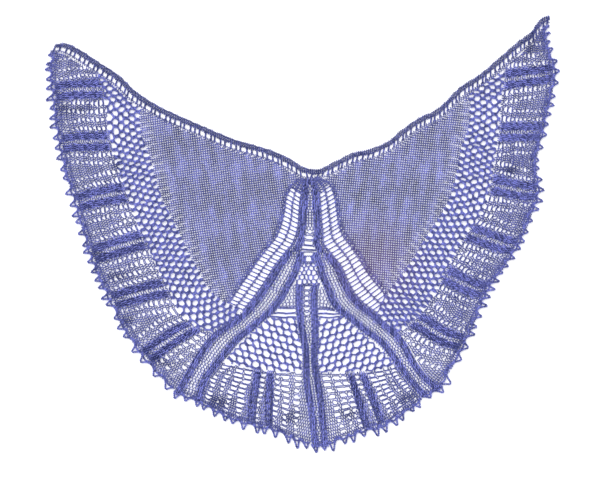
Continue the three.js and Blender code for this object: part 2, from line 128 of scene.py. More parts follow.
# The seams of each half, from the wing's tip to the middle or from the neck down. Columns: x, y.
LEFT_SEAMS = {
    "top_edge": [
        [-554, 273], [-532, 273], [-504, 260], [-460, 231], [-416, 202], [-385, 172], [-350, 147],
        [-315, 128], [-240, 95], [-167, 64], [-86, 40], [-42, 20], [-13, 2], [2, -2],
    ],
    "band_foot": [
        [-572, 253], [-541, 251], [-491, 222], [-449, 196], [-398, 152], [-367, 132], [-326, 108],
        [-249, 73], [-176, 42], [-92, 18], [-51, -2], [-18, -20], [0, -24],
    ],
    "hem": [
        [-576, 251], [-583, 211], [-579, 156], [-572, 103], [-563, 46], [-548, -18], [-528, -84],
        [-510, -143], [-495, -200], [-475, -249], [-451, -299], [-420, -359], [-376, -427], [-304, -506],
    ],
    "mesh_foot": [
        [-466, 207], [-460, 190], [-453, 174], [-444, 112], [-438, 59], [-422, 4], [-403, -53],
        [-383, -110], [-361, -158], [-339, -211], [-312, -264], [-284, -319], [-251, -348], [-213, -363],
    ],
    "wing_foot": [
        [-367, 132], [-372, 119], [-367, 70], [-348, 18], [-330, -48], [-312, -92], [-290, -134],
        [-271, -174], [-246, -220], [-222, -264], [-194, -290], [-178, -297], [-145, -315],
    ],
    "ladder_inner": [
        [-9, -24], [-15, -48], [-20, -81], [-22, -114], [-26, -141], [-37, -169], [-46, -180],
        [-55, -191], [-75, -216], [-92, -244], [-112, -273], [-130, -297], [-145, -315],
    ],
    "ladder_outer": [
        [-18, -20], [-40, -40], [-51, -64], [-55, -92], [-62, -121], [-73, -150], [-90, -172],
        [-112, -200], [-132, -229], [-152, -257], [-165, -277], [-178, -297],
    ],
    "diagonal_outer": [
        [-169, -334], [-213, -363], [-238, -392], [-260, -427], [-282, -466], [-304, -506],
    ],
    "diagonal_inner": [
        [-11, -185], [-15, -211], [-26, -240], [-40, -264], [-51, -286], [-62, -301], [-75, -317],
        [-95, -334], [-128, -363], [-145, -376], [-191, -429], [-220, -466], [-240, -530],
    ],
    "centre_side": [
        [-11, -185], [-15, -211], [-25, -238], [-29, -246], [-31, -270], [-31, -301], [-26, -345],
        [-20, -378], [-15, -411], [-15, -449], [-11, -488], [-2, -543], [4, -598], [9, -627],
    ],
    "net_foot": [[-191, -429], [-130, -440], [-75, -447], [-15, -449]],
    "bottom_hem": [[-240, -530], [-180, -563], [-130, -581], [-73, -594], [-37, -612], [9, -627]],
    "net_top": [[-87, -328], [-29, -330]],
    "fan_top": [[-37, -259], [-31, -259]],
}
RIGHT_SEAMS = {
    "top_edge": [
        [528, 337], [508, 326], [486, 297], [464, 282], [420, 244], [376, 207], [332, 178],
        [299, 145], [279, 128], [244, 112], [200, 81], [178, 62], [134, 42], [99, 35],
        [68, 20], [42, 7], [24, -2], [2, -2],
    ],
    "band_foot": [
        [528, 321], [517, 310], [497, 282], [477, 264], [431, 220], [387, 187], [350, 161],
        [312, 125], [290, 106], [255, 90], [213, 59], [189, 42], [143, 22], [108, 15],
        [77, 0], [42, -18], [18, -20], [0, -24],
    ],
    "hem": [
        [528, 317], [534, 277], [556, 211], [539, 139], [528, 81], [508, 11], [519, -55],
        [497, -112], [473, -176], [438, -224], [407, -271], [383, -326], [361, -385], [306, -488],
    ],
    "mesh_foot": [
        [431, 220], [430, 207], [429, 194], [422, 136], [418, 79], [409, 22], [400, -37],
        [383, -95], [350, -141], [323, -185], [297, -235], [271, -286], [231, -334], [196, -361],
    ],
    "wing_foot": [
        [350, 161], [354, 136], [348, 81], [334, 44], [323, -18], [304, -75], [282, -114],
        [253, -158], [227, -200], [198, -242], [183, -262], [169, -279], [150, -321],
    ],
    "ladder_inner": [
        [9, -24], [20, -48], [24, -81], [26, -114], [29, -141], [31, -169], [40, -180],
        [51, -194], [70, -218], [84, -249], [101, -279], [125, -304], [150, -321],
    ],
    "ladder_outer": [
        [18, -20], [46, -35], [57, -62], [62, -92], [66, -119], [75, -147], [90, -167],
        [110, -196], [125, -222], [141, -244], [156, -262], [169, -279],
    ],
    "diagonal_outer": [
        [169, -339], [196, -361], [216, -387], [235, -422], [266, -462], [306, -488],
    ],
    "diagonal_inner": [
        [7, -185], [15, -216], [26, -249], [37, -277], [46, -299], [59, -315], [79, -330],
        [110, -356], [150, -385], [169, -407], [200, -449], [227, -484], [257, -517],
    ],
    "centre_side": [
        [7, -185], [15, -216], [21, -238], [25, -248], [21, -272], [20, -301], [22, -345],
        [22, -378], [20, -418], [24, -449], [31, -488], [37, -537], [42, -587], [46, -625],
    ],
    "net_foot": [[191, -436], [152, -444], [90, -449], [24, -449]],
    "bottom_hem": [[257, -517], [200, -563], [165, -585], [117, -598], [73, -616], [46, -625]],
    "net_top": [[77, -328], [21, -330]],
    "fan_top": [[32, -263], [22, -263]],
}
# How many points a diagonal's outer seam shares with the end of the ladder's inner seam
SHARED_POINTS = 7

# Which way each half turns from its rails
TURN = {"left": -1, "right": 1}

# Wings: end of the foot's side along the net in percent, lean of the courses in degrees, their bow, and
# how many courses and loops are laid to each side of the middle before the outline cuts them
WING_FOOT_PERCENT = 88
WING_LEAN = {"left": 9, "right": -5}
WING_BOW = 14
WING_HALF = 60
STEPS_PER_STITCH = 4

# Nets: pitch of the holes along and across, half the zigzag of a rope, its yarn and plies, how far the
# two ropes of a bar lie from its middle, and how far the net reaches out from its rail
NET_KEYS = ("along", "across", "zigzag", "yarn", "plies", "bar", "reach")
SIDE_NET = dict(zip(NET_KEYS, (14.6, 12.1, 2.0, 1.65, 3, 1.8, 125)))
OPEN_NET = dict(zip(NET_KEYS, (16.4, 15.2, 2.9, 1.45, 2, 1.6, 200)))
DIAMOND_NET = dict(zip(NET_KEYS, (10.5, 9.5, 1.4, 1.0, 2, 0.7, 90)))
NET_JITTER = 2.1
# How far a net starts before its rail
NET_LEAD = 130

# Border, from the side net to the hem: number of courses, half the way between two rib pairs, and the
# pairs' middles in shares of its length
BORDER_COURSES = 22
BORDER_HALF = 60
PAIR_SHARES = np.arange(2, 13, 2) / 13
# At the hem: how far the courses wave, how much narrower the zones are and how far the ladders close
FEATHER = 3.5
ZONE_TAPER = 0.1
LADDER_CLOSING = 0.7
# Columns: kind, start and end in millimetres from the middle of the rib pair.
BORDER_ZONES = [
    ("rungs", -4, 4), ("rib", 2.5, 23.5), ("ladder", 25, 36), ("ladder", 45, 54), ("ladder", 67, 80),
]
# Thick yarns under the border's ribs, in millimetres from the middle of a rib pair
BORDER_BACKING = np.array([-19.4, -16.8, -14.2, -11.6, -9, -6.4, 6.4, 9, 11.6, 14.2, 16.8, 19.4])
# Thick yarns under a long rib, in millimetres from the rib's middle
RIB_BACKING = np.array([-5.1, -1.7, 1.7, 5.1])
# Thick yarns under the bottom border's ribs, in shares of a course
BOTTOM_BACKING = np.array([0.427, 0.443, 0.459, 0.475, 0.491, 0.579, 0.595, 0.611, 0.627, 0.643])
BOTTOM_COURSES = 22
# Columns: kind, start and end in shares of a course, from the diagonal ribs to the centre ribs.
BOTTOM_ZONES = [
    ("ladder", 0.02, 0.09), ("ladder", 0.12, 0.17), ("ladder", 0.2, 0.3), ("ladder", 0.31, 0.41),
    ("rib", 0.41, 0.51), ("ladder", 0.498, 0.572), ("rib", 0.56, 0.66), ("ladder", 0.68, 0.75),
    ("ladder", 0.76, 0.86), ("ladder", 0.89, 0.98),
]
# Hem: pitch of the picots and the two ropes that form one. Columns: way along from the picot's middle in
# shares of a pitch, way out from the chain at 0 to the tip at 1.
PICOT_PITCH = 24
PICOT_OUTSIDE = [
    (-0.5, -0.12), (-0.4, -0.06), (-0.3, 0.08), (-0.2, 0.34), (-0.12, 0.66), (-0.05, 0.94),
    (0.04, 1.0), (0.11, 0.68), (0.19, 0.34), (0.29, 0.08), (0.4, -0.06),
]
PICOT_INSIDE = [
    (-0.5, -0.34), (-0.3, -0.16), (-0.13, 0.1), (0.0, 0.16), (0.13, 0.1), (0.3, -0.16),
]
HEM_LIFT = RUFFLE_LIFT * 0.4

# Double ladders
LADDER_RUNGS = 35
# Columns: way across, half the way between the two yarns of the chain.
LADDER_CHAINS = [(0.03, 0.6), (0.5, 0.8), (0.97, 0.6)]
LADDER_ROPE = {"radius": 0.95, "twist": 12, "rise": 0.5, "flare": 0.9}
# How many rungs lower a rung's outer end lies than the rails say, at the top and at the foot
LADDER_DROP = {"left": (-0.2, 0.5), "right": (0.4, 2.6)}
# The share of the ladder that is closed at the top
LADDER_OPENS = 0.1

# Long rib pairs: number of courses, share of the length they end at, way of a rib's crest from the edge
# in shares of the width, and half a rib's width
PAIR_KEYS = ("count", "end", "crest", "half")
SPINE_PAIR = dict(zip(PAIR_KEYS, (27, 1, 0.2, 8)))
CENTRE_PAIR = dict(zip(PAIR_KEYS, (62, 0.965, 0.21, 7.5)))
DIAGONAL_PAIR = dict(zip(PAIR_KEYS, (66, 0.965, 0.17, 9.2)))

# The diamond over the centre ribs and the open rungs above it, in shares of the length and of the width
DIAMOND_START = 0.05
DIAMOND_SHARE = 0.17
DIAMOND_ROWS = (0.0, 0.021, 0.05, 0.058, DIAMOND_SHARE)
DIAMOND_POSTS = (0.06, 0.14, 0.22, 0.78, 0.86, 0.94)
POST_ENDS = (0.018, 0.054)

# Fans: number and start of the fine courses, and the rungs above, between and below the two wide gaps,
# in shares of the height
FAN_COURSES = 7
FAN_START = 0.03
FAN_GAPS = [(0.66, 0.7), (0.83, 0.86), (0.97, 1.0)]

# Garter band and eyelets
EYELET_PITCH = 12.2
EYELET_LEAN = 1.8
# Columns: distance from the neck edge, half a loop's height, rise.
BAND_COURSES = [(1.8, 1.6, 0.8), (4.6, 1.9, 1.5), (7.4, 1.9, 1.5), (10, 1.6, 0.8)]
BAND_DEPTH = 10
EYELET_DEPTH = 22
# Courses from the eyelets down to the band's foot, in millimetres below the eyelets
EYELET_FOOT = np.arange(0, 24, 4.4)

# How much thicker and higher the yarn is in a small fold, and how much painted shade darkens its tone
# there
FOLD_SWELL = 0.4
FOLD_LIFT = 0.9
FOLD_PAINTED_SHADE = 0.28
# Small folds where the wool bunches up. Columns: x, y, half the length, half the width, turn in degrees.
PUCKERS = [
    (-421, -238, 26, 9, 8), (-329, -422, 34, 10, -28), (-398, -335, 16, 8, 20),
    (-198, -515, 24, 12, -18), (442, -4, 16, 10, 20), (485, 268, 26, 12, 75),
    (-460, -192, 20, 9, -40), (-418, 8, 14, 10, 0), (-542, 132, 14, 8, 10),
    (-36, -546, 22, 12, 30), (84, -540, 20, 12, -20), (330, -390, 22, 9, 40),
    (-512, 128, 30, 7, 12), (216, -505, 20, 9, 30),
]


def between(rows, ways, goals):
    """The rows at the goals, where the ways say how far along each given row stands."""
    return np.stack([np.interp(goals, ways, axis) for axis in rows.T], -1)


def sample(points, shares):
    """Points of a line at shares of its index range."""
    return between(points, np.linspace(0, 1, len(points)), shares)


def unit(vectors, least=1e-9):
    """The vectors at a length of 1."""
    return vectors / np.maximum(np.linalg.norm(vectors, axis=-1, keepdims=True), least)


def running_length(points):
    """The way along a line up to each of its points."""
    return np.concatenate([[0], np.cumsum(np.linalg.norm(np.diff(points, axis=0), axis=1))])


def evenly(points, count):
    """The same line with points an equal length apart."""
    lengths = running_length(points)
    return between(points, lengths, np.linspace(0, lengths[-1], count))


def smooth(rows, steps=16):
    """A centripetal curve through rows of points, with a number of steps between each two."""
    rows = np.array(rows, float)
    ends = np.vstack([2 * rows[0] - rows[1], rows, 2 * rows[-1] - rows[-2]])
    share = np.arange(steps)[:, None] / steps
    pieces = []
    for before, start, end, after in zip(ends, ends[1:], ends[2:], ends[3:]):
        spans = (start - before, end - start, after - end)
        a, b, c = (math.sqrt(np.linalg.norm(span)) for span in spans)
        leave = b * ((start - before) / a - (end - before) / (a + b) + (end - start) / b)
        arrive = b * ((end - start) / b - (after - start) / (b + c) + (after - end) / c)
        bend = share**2 * (3 - 2 * share)
        pieces.append(
            (1 - bend) * start + bend * end
            + share * (1 - share) ** 2 * leave - share**2 * (1 - share) * arrive
        )
    return np.vstack([*pieces, rows[-1:]])


def stretch(points, start, end):
    """The part of a line between the places nearest to two points, evenly stepped."""
    first, last = (int(np.argmin(np.linalg.norm(points - goal, axis=1))) for goal in (start, end))
    part = points[first : last + 1] if first <= last else points[last : first + 1][::-1]
    return evenly(np.vstack([start, part[1:-1], end]), 120)


def straight(start, end, count=120):
    return np.array(start) + np.linspace(0, 1, count)[:, None] * (np.array(end) - start)


def runs(mask):
    """The first index and the index after the last of each unbroken run of true values."""
    edges = np.flatnonzero(np.diff(np.concatenate([[0], mask.astype(int), [0]])))
    return zip(edges[::2], edges[1::2])


def step_up(value, start, end):
    """A smooth rise from 0 at the start to 1 at the end."""
    share = np.clip((np.asarray(value) - start) / (end - start), 0, 1)
    return share**2 * (3 - 2 * share)


def blotch(line, size, seed):
    """Smooth uneven patches over the plane, between about -1 and 1."""
    x, y = np.asarray(line).T / size
    rng = np.random.default_rng(seed)
    a, b, c, d = rng.uniform(0, math.tau, 4)
    first = np.sin(1.7 * x + a + 1.3 * np.sin(0.9 * y + b))
    second = np.sin(1.9 * y + c + 1.4 * np.sin(1.1 * x + d))
    third = np.sin(2.9 * x + 2.3 * y + a + d) * np.sin(2.6 * y - 1.9 * x + b)
    return 0.4 * first + 0.4 * second + 0.3 * third


def pucker(places):
    """How strongly the wool is bunched up at places, from 0 to 1."""
    depth = np.zeros(len(places))
    for x, y, half_length, half_width, turn in PUCKERS:
        angle = math.radians(turn)
        dx, dy = places[:, 0] - x, places[:, 1] - y
        along = (dx * math.cos(angle) + dy * math.sin(angle)) / half_length
        across = (dy * math.cos(angle) - dx * math.sin(angle)) / half_width
        depth = np.maximum(depth, np.exp(-(along**2) - across**2))
    return depth


class Patch:
    """A ruled surface between two lines, with its first and last rows bent onto given rows."""

    def __init__(self, near, far, first=None, last=None):
        self.near, self.far = near, far
        self.bends = [(first, 0), (last, 1)]

    def at(self, along, across):
        along, across = np.broadcast_arrays(np.asarray(along, float), np.asarray(across, float))
        near, far = sample(self.near, along), sample(self.far, along)
        place = near + (far - near) * across[..., None]
        for row, end in self.bends:
            if row is not None:
                corner, other = sample(self.near, end), sample(self.far, end)
                bend = sample(row, across) - corner - (other - corner) * across[..., None]
                weight = along**2 if end else (1 - along) ** 2
                place = place + bend * weight[..., None]
        return place

    def course(self, across, count):
        return self.at(np.linspace(0, 1, count), across)

    def rung(self, along):
        return self.at(along, np.linspace(0, 1, 120))


class Offset:
    """Places beside a line, by millimetres along it and out from it. The line goes on straight."""

    def __init__(self, rail, turn):
        rail = evenly(rail, 200)
        slope = np.gradient(rail, axis=0)
        window = np.ones(41) / 41
        padded = [np.pad(axis, 20, "edge") for axis in slope.T]
        slope = unit(np.stack([np.convolve(axis, window, "valid") for axis in padded], 1))
        self.lengths = running_length(rail)
        self.rail, self.slope, self.turn = rail, slope, turn

    def at(self, along, out):
        along, out = np.broadcast_arrays(np.asarray(along, float), np.asarray(out, float))
        inner = np.clip(along, 0, self.lengths[-1])
        place = between(self.rail, self.lengths, inner)
        slope = unit(between(self.slope, self.lengths, inner))
        normal = np.stack([-slope[..., 1], slope[..., 0]], -1) * self.turn
        return place + slope * (along - inner)[..., None] + normal * out[..., None]


class Yarns:
    """Collects closed tubes of yarn and joins them into one mesh."""

    def __init__(self):
        self.points, self.faces, self.tones = [], [], []
        self.count = 0

    def add(self, path, radius=YARN, tone=LACE_TONE, sides=3):
        forward = unit(np.gradient(path, axis=0))
        beside = unit(np.cross(forward, (0, 0, 1)), 1e-6)
        above = np.cross(beside, forward)
        angles = math.tau * np.arange(sides) / sides + math.pi / 2
        bunched = pucker(path)
        radius = (radius * (1 + FOLD_SWELL * bunched))[:, None, None]
        ring = np.cos(angles)[:, None] * beside[:, None] + np.sin(angles)[:, None] * above[:, None]
        points = path[:, None] + radius * ring
        points[..., 2] = np.maximum(points[..., 2] + FOLD_LIFT * bunched[:, None], 0)
        steps = np.arange(len(path) - 1)[:, None] * sides
        here = steps + np.arange(sides)
        beyond = steps + (np.arange(sides) + 1) % sides
        walls = np.stack([here, beyond, beyond + sides, here, beyond + sides, here + sides], -1)
        fan = np.array([[0, i + 1, i] for i in range(1, sides - 1)])
        caps = np.vstack([fan, fan[:, ::-1] + (len(path) - 1) * sides])
        self.points.append(points.reshape(-1, 3))
        self.faces.append(np.vstack([walls.reshape(-1, 3), caps]) + self.count)
        # Painted shade: the tone is darkened where the wool is bunched into a fold
        self.tones.append(np.repeat(tone - FOLD_PAINTED_SHADE * bunched, sides))
        self.count += len(path) * sides

    def mesh(self, name):
        points, faces = np.vstack(self.points), np.vstack(self.faces)
        points[:, :2] -= MIDDLE
        made = bpy.data.meshes.new(name)
        made.vertices.add(len(points))
        made.vertices.foreach_set("co", (points * MM).astype(np.float32).ravel())
        made.loops.add(faces.size)
        made.loops.foreach_set("vertex_index", faces.astype(np.int32).ravel())
        made.polygons.add(len(faces))
        made.polygons.foreach_set("loop_start", np.arange(0, faces.size, 3, dtype=np.int32))
        made.polygons.foreach_set("use_smooth", np.ones(len(faces), bool))
        tones = made.attributes.new("tone", "FLOAT", "POINT")
        tones.data.foreach_set("value", np.concatenate(self.tones).astype(np.float32))
        made.update(calc_edges=True)
        made.validate()
        return made


def lay_course(
    yarns, line, pitch=STITCH, swing=FULL_SWING, aside=0.0, rise=0.0, radius=YARN, tone=LACE_TONE,
    spots=SPOTS_PER_LOOP,
):
    """Lays one course of loops along a line.

    Every value but the spots is one number, or one for each point of the line.
    """
    count = len(line)
    steps = np.arange(count)
    tangent = unit(np.gradient(line, axis=0))
    normal = np.stack([-tangent[:, 1], tangent[:, 0]], 1)
    pitch = np.broadcast_to(pitch, count)
    lengths = running_length(line)
    if lengths[-1] < STITCH:
        return
    loops = np.concatenate([[0], np.cumsum(np.diff(lengths) / (pitch[1:] + pitch[:-1]) * 2)])
    total = max(1, round(loops[-1]))
    loops *= total / max(loops[-1], 1e-9)
    beats = np.arange(spots * total + 1) / spots
    where = np.interp(beats, loops, steps)

    def read(values):
        return np.interp(where, steps, np.broadcast_to(values, count))

    phase = math.tau * beats
    swings = read(swing)
    fullness = np.clip(swings / FULL_SWING, 0, 1)
    ahead = read(pitch) * fullness * (LOOP_SWAY * np.sin(2 * phase) + LOOP_OPEN * np.sin(phase))
    sideways = read(aside) + swings * np.cos(phase)
    place = between(line, steps, where)
    place += between(tangent, steps, where) * ahead[:, None]
    place += between(normal, steps, where) * sideways[:, None]
    level = LOOP_DEPTH + YARN + read(rise) - LOOP_DEPTH * fullness * np.cos(2 * phase)
    thickness = read(radius) * (1 + LOOP_HEAVY * fullness * np.cos(2 * phase))
    yarns.add(np.column_stack([place, level]), thickness, read(tone))


def lay_rope(
    yarns, line, radius=YARN, twist=ROPE_TWIST, rise=0.0, tone=ROPE_TONE, plies=2, step=ROPE_STEP,
    flare=0.0,
):
    """Lays yarns twisted round each other along a line of points, thicker at both ends by the flare."""
    count = max(3, round(running_length(line)[-1] / step) + 1)
    line = evenly(np.column_stack([line, np.broadcast_to(rise, len(line))]), count)
    lengths = running_length(line)
    radius = radius * (1 + flare * (2 * lengths / lengths[-1] - 1) ** 4)
    tangent = unit(np.gradient(line[:, :2], axis=0))
    for ply in range(plies):
        turn = math.tau * (lengths / twist + ply / plies)
        sideways = np.cos(turn)
        offset = np.column_stack([-tangent[:, 1] * sideways, tangent[:, 0] * sideways, np.sin(turn)])
        path = line + ROPE_SPREAD * radius[:, None] * offset
        path[:, 2] += 2 * radius
        flat = path[:, :2]
        yarns.add(path, radius, tone + 0.26 * blotch(flat, 2.2, 30) + 0.14 * blotch(flat, 7, 31))


def lay_backing(yarns, lines):
    """Lays thick yarns side by side under a rib, one along each line, so that no light comes through.
    Their dark tone is painted shade.
    """
    for line in lines:
        mottle = 0.25 * blotch(line, 2.8, 50) + 0.25 * blotch(line, 1.7, 53)
        path = np.column_stack([line, np.full(len(line), BACKING_LEVEL)])
        yarns.add(path, BACKING_YARN, BACKING_SHADE_TONE + mottle)


def inside(points, outline):
    """Which points lie in a closed outline."""
    x, y = points.T[..., None]
    (ax, ay), (bx, by) = outline.T, np.roll(outline, -1, axis=0).T
    rise = np.where(by == ay, 1, by - ay)
    crosses = ((ay > y) != (by > y)) & (x < (bx - ax) * (y - ay) / rise + ax)
    return crosses.sum(1) % 2 == 1


def seams_of(tables):
    """The seams of one half as even lines of points, from the rows of the tables."""
    shared = tables["ladder_inner"][-SHARED_POINTS:]
    tables = {**tables, "diagonal_outer": shared + tables["diagonal_outer"]}
    curves = {name: smooth(rows) for name, rows in tables.items()}
    ends = {name: np.array([rows[0], rows[-1]], float) for name, rows in tables.items()}
    wing_end = evenly(curves["wing_foot"], 101)[WING_FOOT_PERCENT]
    ladder_end = ends["ladder_outer"][1]
    split = np.array(tables["centre_side"][3], float)
    halves = evenly(curves["ladder_inner"], 241)

    def part(curve, start, end):
        return stretch(curves[curve], start, end)

    return {
        **curves,
        "border_top": part("band_foot", ends["mesh_foot"][0], ends["hem"][0]),
        "mesh_top": part("band_foot", ends["wing_foot"][0], ends["mesh_foot"][0]),
        "wing_top": part("band_foot", ends["wing_foot"][0], ends["ladder_outer"][0]),
        "wing_side": part("wing_foot", ends["wing_foot"][0], wing_end),
        "wing_end": straight(wing_end, ladder_end),
        "spine_side": halves[:121],
        "diagonal_top": halves[120:],
        "mesh_end": part("diagonal_outer", ends["ladder_inner"][1], ends["mesh_foot"][1]),
        "border_end": part("diagonal_outer", ends["mesh_foot"][1], ends["hem"][1]),
        "diamond_side": part("centre_side", ends["centre_side"][0], split),
        "fan_outside": part("diagonal_inner", ends["fan_top"][0], ends["net_top"][0]),
        "fan_inside": part("centre_side", ends["fan_top"][1], ends["net_top"][1]),
        "net_outside": part("diagonal_inner", ends["net_top"][0], ends["net_foot"][0]),
        "net_inside": part("centre_side", ends["net_top"][1], ends["net_foot"][1]),
        "net_foot": evenly(curves["net_foot"], 120),
        "bottom_outside": part("diagonal_inner", ends["net_foot"][0], ends["bottom_hem"][0]),
        "bottom_inside": part("centre_side", ends["net_foot"][1], ends["bottom_hem"][1]),
        "bottom_hem": evenly(curves["bottom_hem"], 200),
    }


def knit_wing(yarns, side, seams):
    """The plain knit wing: upright courses of loops, cut off by the wing's outline."""
    outline = np.vstack([
        seams["wing_top"], evenly(seams["ladder_outer"], 120), seams["wing_end"][::-1],
        seams["wing_side"][::-1],
    ])
    lean = math.radians(WING_LEAN[side])
    down = np.array([math.sin(lean), -math.cos(lean)])
    right = np.array([math.cos(lean), math.sin(lean)])
    middle = outline.mean(0)
    foot = evenly(seams["wing_foot"], 400)
    reach = WING_HALF * STITCH
    travel = np.arange(-reach, reach, STITCH / STEPS_PER_STITCH)
    for number in range(-WING_HALF, WING_HALF):
        sideways = number * COURSE + WING_BOW * (travel / reach) ** 2
        line = middle + travel[:, None] * down + sideways[:, None] * right
        line = line + 0.5 * np.stack([blotch(line, 40, 1), blotch(line, 40, 2)], 1)
        for start, end in runs(inside(line, outline)):
            # Whole loops only, so that the loops of neighbouring courses lie side by side
            start = STEPS_PER_STITCH * round(start / STEPS_PER_STITCH)
            end = STEPS_PER_STITCH * round(end / STEPS_PER_STITCH) + 1
            if end - start >= 2 * STEPS_PER_STITCH:
                lay_wing_course(yarns, line[start:end], down, right, foot)


def lay_wing_course(yarns, line, down, right, foot):
    """Lays a streaked course, which thins out at even steps beside the side net."""
    streak = 0.2 * blotch(np.column_stack([line @ right, 0.2 * (line @ down)]), 8, 5)
    tone = WING_TONE + streak + 0.08 * blotch(line, 30, 6) + 0.16 * blotch(line, 1.9, 7)
    spread = np.linalg.norm(line[:, None] - foot[None, ::4], axis=2)
    holes = running_length(foot)[::4][spread.argmin(1)] / SIDE_NET["along"]
    near = 1 - step_up(spread.min(1), 15, 40)
    feather = near * step_up(np.cos(math.tau * holes), 0.1, 0.8)
    lay_course(
        yarns, line, tone=tone, radius=WING_YARN * (1 - 0.4 * feather),
        swing=FULL_SWING - 0.9 * feather, rise=0.4 * blotch(line, 10, 3), spots=WING_SPOTS_PER_LOOP,
    )


def lay_inside(yarns, line, outline, **look):
    """Lays a rope along the parts of a line that lie in an outline."""
    for start, end in runs(inside(line, outline)):
        if end - start > 2:
            lay_rope(yarns, line[start:end], **look)


def lay_net(yarns, field, outline, net):
    """Lays staggered six-sided holes: zigzag ropes between the columns of holes, joined by bars."""
    pitch, across = net["along"], net["across"]
    look = {"radius": net["yarn"], "plies": net["plies"], "twist": 8, "rise": 0.5, "step": 2.8}

    def edge(boundary, along):
        turn = math.tau * (along / pitch - 0.25 - 0.5 * (boundary % 2))
        place = field.at(along, boundary * across - net["zigzag"] * np.cos(turn))
        return place + NET_JITTER * np.stack([blotch(place, 9, 21), blotch(place, 9, 22)], -1)

    columns = math.ceil(net["reach"] / across)
    holes = math.ceil((field.lengths[-1] + NET_LEAD) / pitch)
    first = -math.ceil(NET_LEAD / pitch)
    for boundary in range(columns + 1):
        along = np.arange(first * pitch, holes * pitch, pitch / 8)
        line = edge(boundary, along)
        lay_inside(yarns, line, outline, **look)
    for column in range(columns):
        for hole in range(first, holes):
            along = np.array([(hole + 0.75 + 0.5 * (column % 2)) * pitch])
            start, end = edge(column, along)[0], edge(column + 1, along)[0]
            side = (end - start)[::-1] * (1, -1) / np.linalg.norm(end - start)
            for shift in (-net["bar"], net["bar"]):
                line = straight(start, end, 7) + shift * side
                lay_inside(yarns, line, outline, **look)


def knit_side_net(yarns, side, seams):
    """The net of staggered round holes between a wing and the border."""
    outline = np.vstack([
        seams["mesh_top"], evenly(seams["mesh_foot"], 300), seams["mesh_end"][::-1],
        evenly(seams["wing_foot"], 300)[::-1],
    ])
    field = Offset(evenly(seams["wing_foot"], 300), TURN[side])
    lay_net(yarns, field, outline, SIDE_NET)


def knit_border(yarns, side, seams):
    """The ribbed border: courses that bunch into pairs of ribs and float as rungs between them."""
    border = Patch(
        sample(seams["mesh_foot"], np.linspace(0, 1, 900)),
        sample(seams["hem"], np.linspace(0, 1, 900)),
        first=seams["border_top"],
        last=seams["border_end"],
    )
    for course in range(BORDER_COURSES):
        across = (course + 0.5) / BORDER_COURSES * HEM_SHARE
        line = border.course(across, 900)
        lengths = running_length(line)
        distance = np.abs(lengths[:, None] - pair_ways(lengths)[None, :]).min(1)
        distance = distance + 2.5 * blotch(line, 22, 40) * np.clip(distance / 30, 0, 1)
        wave = -FEATHER * np.cos(math.pi * distance / BORDER_HALF) * min(1, 4 * across)
        lift = RUFFLE_LIFT * across**2 * np.clip(distance / BORDER_HALF, 0, 1)
        profile = zone_profile(line, BORDER_ZONES, distance, across, course, lift)
        aside = TURN[side] * (profile.pop("pairing") + wave)
        lay_course(yarns, line, aside=aside, **profile)
    back_border(yarns, border)
    lay_hem(yarns, patch_hem(border))


def pair_ways(lengths):
    """How far along a course the rib pairs' middles lie, from the way up to each of its points."""
    return np.interp(PAIR_SHARES, np.linspace(0, 1, len(lengths)), lengths)


def back_border(yarns, border):
    """Lays the thick yarns under the border's ribs, from the side net to near the hem."""
    rows = []
    for across in np.linspace(0.04, 0.84, 34):
        line = border.course(across, 300)
        lengths = running_length(line)
        goals = (pair_ways(lengths)[:, None] + BORDER_BACKING * (1 - ZONE_TAPER * across)).ravel()
        rows.append(between(line, lengths, goals))
    lay_backing(yarns, np.stack(rows, 1))


def rib_tone(rib, patches, fine):
    """The tone along a course, mottled most where it is ribbed."""
    mottle = (0.14 + 0.2 * rib) * patches
    return LACE_TONE + (RIB_TONE - LACE_TONE) * rib + mottle + (0.14 + 0.36 * rib) * fine


def zone_profile(line, zones, place, across, course, lift=0.0):
    """How a course is knitted at each place along it. Zones give each part's kind, start and end."""
    rib = np.zeros(len(line))
    ladder = np.zeros(len(line))
    rungs = np.zeros(len(line))
    narrower = 1 - ZONE_TAPER * across
    edge = blotch(line, 3, 52)
    for number, (kind, start, end) in enumerate(zones):
        middle = (start + end) / 2 * (narrower if start > 0 else 1)
        half = (end - start) / 2
        away = np.abs(place - middle)
        if kind == "rib":
            fading = 1 - 0.7 * step_up(across, 0.7, 0.86)
            rib = np.maximum(rib, fading * (1 - step_up(away / half + 0.5 * edge, 0.6, 1.15)))
        if kind == "ladder":
            closing = 1 - LADDER_CLOSING * across
            open_half = half * closing * (1 + 0.6 * blotch(line, 12, 60 + number))
            ladder = np.maximum(ladder, 1 - step_up(away / open_half, 0.7, 1))
        if kind == "rungs":
            rungs = np.maximum(rungs, 1 - step_up(away / half, 0.5, 1))
    patches, fine = blotch(line, 3.2, 50), blotch(line, 1.7, 51)
    rungs = rungs * (1 - step_up(across, 0.5, 0.85)) * (1 - 0.6 * step_up(patches, 0.1, 0.5))
    ladder = ladder * (1 - rib)
    opened = np.maximum(ladder, rungs)
    return {
        "pitch": (STITCH - (STITCH - RIB_PITCH) * rib) * (1 - opened**2) + FLOAT * opened**2,
        "swing": (2.9 + 0.6 * fine) * (1 - opened),
        "pairing": (1 if course % 2 == 0 else -1) * 1.6 * ladder + 0.6 * fine,
        "rise": RIB_RISE * rib * (1 + 0.4 * patches) + lift + 0.3 * fine,
        "radius": YARN + (RIB_YARN - YARN) * np.maximum(rib, rungs) * (1 + 0.2 * fine),
        "tone": rib_tone(rib, patches, fine),
    }


